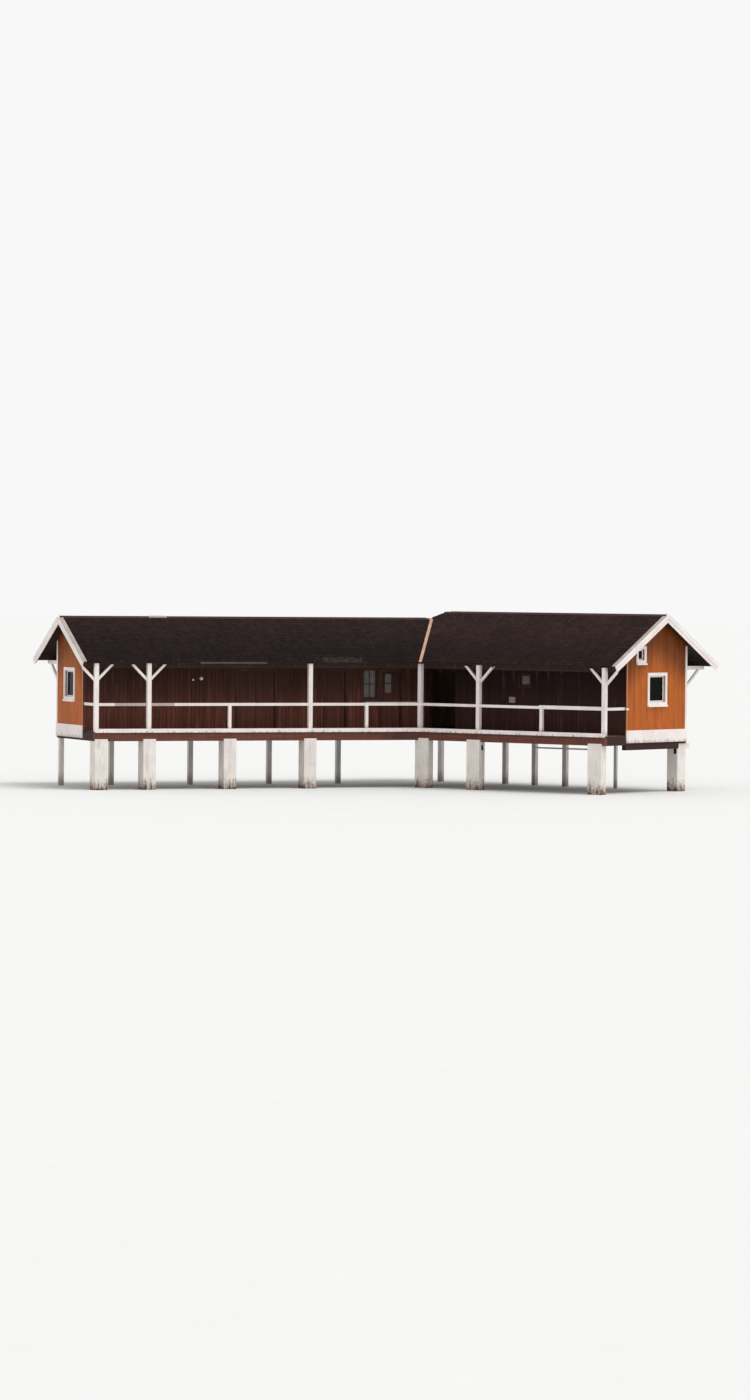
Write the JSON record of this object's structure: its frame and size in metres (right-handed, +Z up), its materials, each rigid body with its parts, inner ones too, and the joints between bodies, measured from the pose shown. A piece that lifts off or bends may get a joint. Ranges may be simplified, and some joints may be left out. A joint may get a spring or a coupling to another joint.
{
  "type": "boathouse",
  "caption": "Timber boathouse on white piers: two roofed wings meeting at a bend, railed gallery along the water side, doors, windows and an orange gable end.",
  "frame": {"origin": "foot of the front pier under the gallery post at the bend, at ground or water level", "axes": "+X along the right wing towards its gable, +Y from the gallery to the back, +Z up"},
  "size_m": [21.2703, 18.7485, 6.7956],
  "materials": {
    "concrete": "painted white, rough",
    "rear_paint": "white paint, matt",
    "beam_stain": "red-brown stain, matt",
    "deck_wood": "weathered boards",
    "white_paint": "white paint, satin",
    "shingles": "dark roof shingles, matt",
    "ridge_metal": "dark paint, matt",
    "valley_metal": "pale paint, matt",
    "roof_timber": "dark stain, matt",
    "dark_wall": "dark red-brown stain, matt",
    "orange_wall": "orange stain, satin",
    "door_wood": "dark stain, satin",
    "hinge_metal": "black paint, satin",
    "glass": "clear"
  },
  "bodies": {
    "building": {"piers": "concrete", "rear_posts": "rear_paint", "rear_tie": "rear_paint", "long_beams": "beam_stain", "cross_beams": "beam_stain", "joists": "beam_stain", "deck": "deck_wood", "toe_boards": "white_paint", "top_rails": "white_paint", "rail_posts": "white_paint", "gallery_posts": "white_paint", "post_braces": "white_paint", "eave_plates": "roof_timber", "roof_a_front": "shingles", "roof_a_back": "shingles", "roof_b_front": "shingles", "roof_b_back": "shingles", "roof_hip": "shingles", "ridge_caps": "ridge_metal", "valley_strips": "valley_metal", "bargeboards": "white_paint", "rafters_a": "roof_timber", "rafters_b": "roof_timber", "hip_boards": "roof_timber", "ridge_boards": "roof_timber", "rear_plates": "roof_timber", "eave_brackets": "white_paint", "wall_a_front": "dark_wall", "wall_heads": "dark_wall", "wall_a_back": "dark_wall", "wall_b_front": "dark_wall", "wall_b_back": "dark_wall", "gable_a": "orange_wall", "gable_b": "orange_wall", "gable_trim": "white_paint", "gable_windows": "white_paint", "window_sashes": "door_wood", "window_glass": "glass", "door_casings": "door_wood", "hinge_pins": "hinge_metal"},
    "leaf_1": {"door_1": "door_wood", "door_1_glass": "glass"},
    "leaf_2": {"door_2": "door_wood"},
    "leaf_3_left": {"door_3_left": "door_wood"},
    "leaf_3_right": {"door_3_right": "door_wood"}
  },
  "joints": [
    {"name": "door_1_hinge", "type": "hinge", "parent": "building", "child": "leaf_1", "pos_m": [-1.39534, 0.45919, 2.2], "axis": [0, 0, -1], "range_deg": [0, 100]},
    {"name": "door_2_hinge", "type": "hinge", "parent": "building", "child": "leaf_2", "pos_m": [-2.96489, -2.25935, 2.2], "axis": [0, 0, 1], "range_deg": [0, 100]},
    {"name": "door_3_left_hinge", "type": "hinge", "parent": "building", "child": "leaf_3_left", "pos_m": [-4.77329, -5.39159, 2.2], "axis": [0, 0, 1], "range_deg": [0, 100]},
    {"name": "door_3_right_hinge", "type": "hinge", "parent": "building", "child": "leaf_3_right", "pos_m": [-4.00829, -4.06657, 2.2], "axis": [0, 0, -1], "range_deg": [0, 100]}
  ]
}
